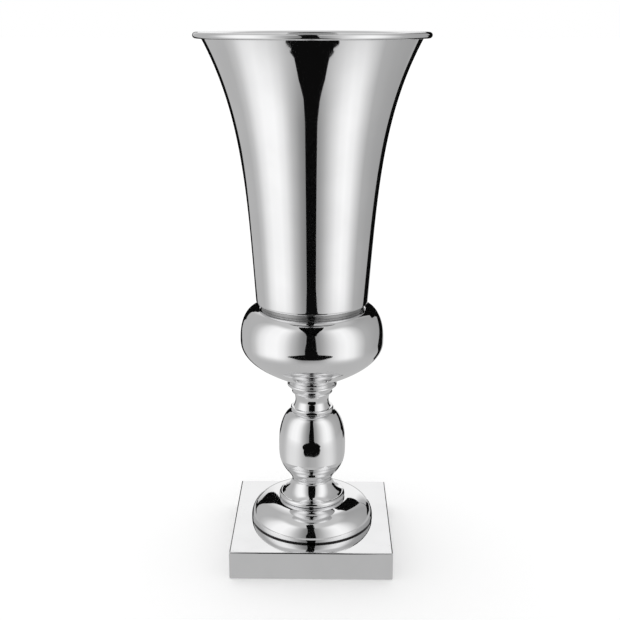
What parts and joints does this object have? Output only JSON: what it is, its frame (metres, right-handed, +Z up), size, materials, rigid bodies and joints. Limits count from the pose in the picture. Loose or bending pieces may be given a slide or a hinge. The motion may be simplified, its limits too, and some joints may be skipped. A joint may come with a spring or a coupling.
{
  "type": "trumpet vase",
  "caption": "Tall mirror-polished metal trumpet vase: flared bowl with rolled rim on a bulbous knop, a turned baluster stem, a domed foot and a square plinth.",
  "frame": {"origin": "centre of the felt underside, on the surface the vase stands on", "axes": "+Z up along the axis of the vase, the front face of the square plinth towards -Y, +X to the right seen from the front"},
  "size_m": [0.2585, 0.2586, 0.61],
  "materials": {
    "mirror_metal": "mirror polished and nickel plated",
    "bright_steel": "bright plated",
    "plain_steel": "zinc plated, dull",
    "black_rubber": "matte",
    "brown_board": "raw hardboard",
    "black_felt": "felt"
  },
  "bodies": {
    "root": {"trumpet_bowl": "mirror_metal", "rim_wire": "plain_steel", "seat_ring": "mirror_metal", "knop_shell": "mirror_metal", "spacer_tube": "plain_steel", "stem_collar": "mirror_metal", "baluster": "mirror_metal", "stem_spool": "mirror_metal", "foot_dome": "mirror_metal", "plinth_shell": "mirror_metal", "clamp_plate": "plain_steel", "tie_rod": "plain_steel", "lower_washer": "plain_steel", "spring_washer": "plain_steel", "hex_nut": "plain_steel", "bowl_seal": "black_rubber", "bowl_washer": "bright_steel", "cap_nut": "bright_steel", "base_board": "brown_board", "board_screws": "plain_steel", "felt_pad": "black_felt"}
  },
  "joints": []
}
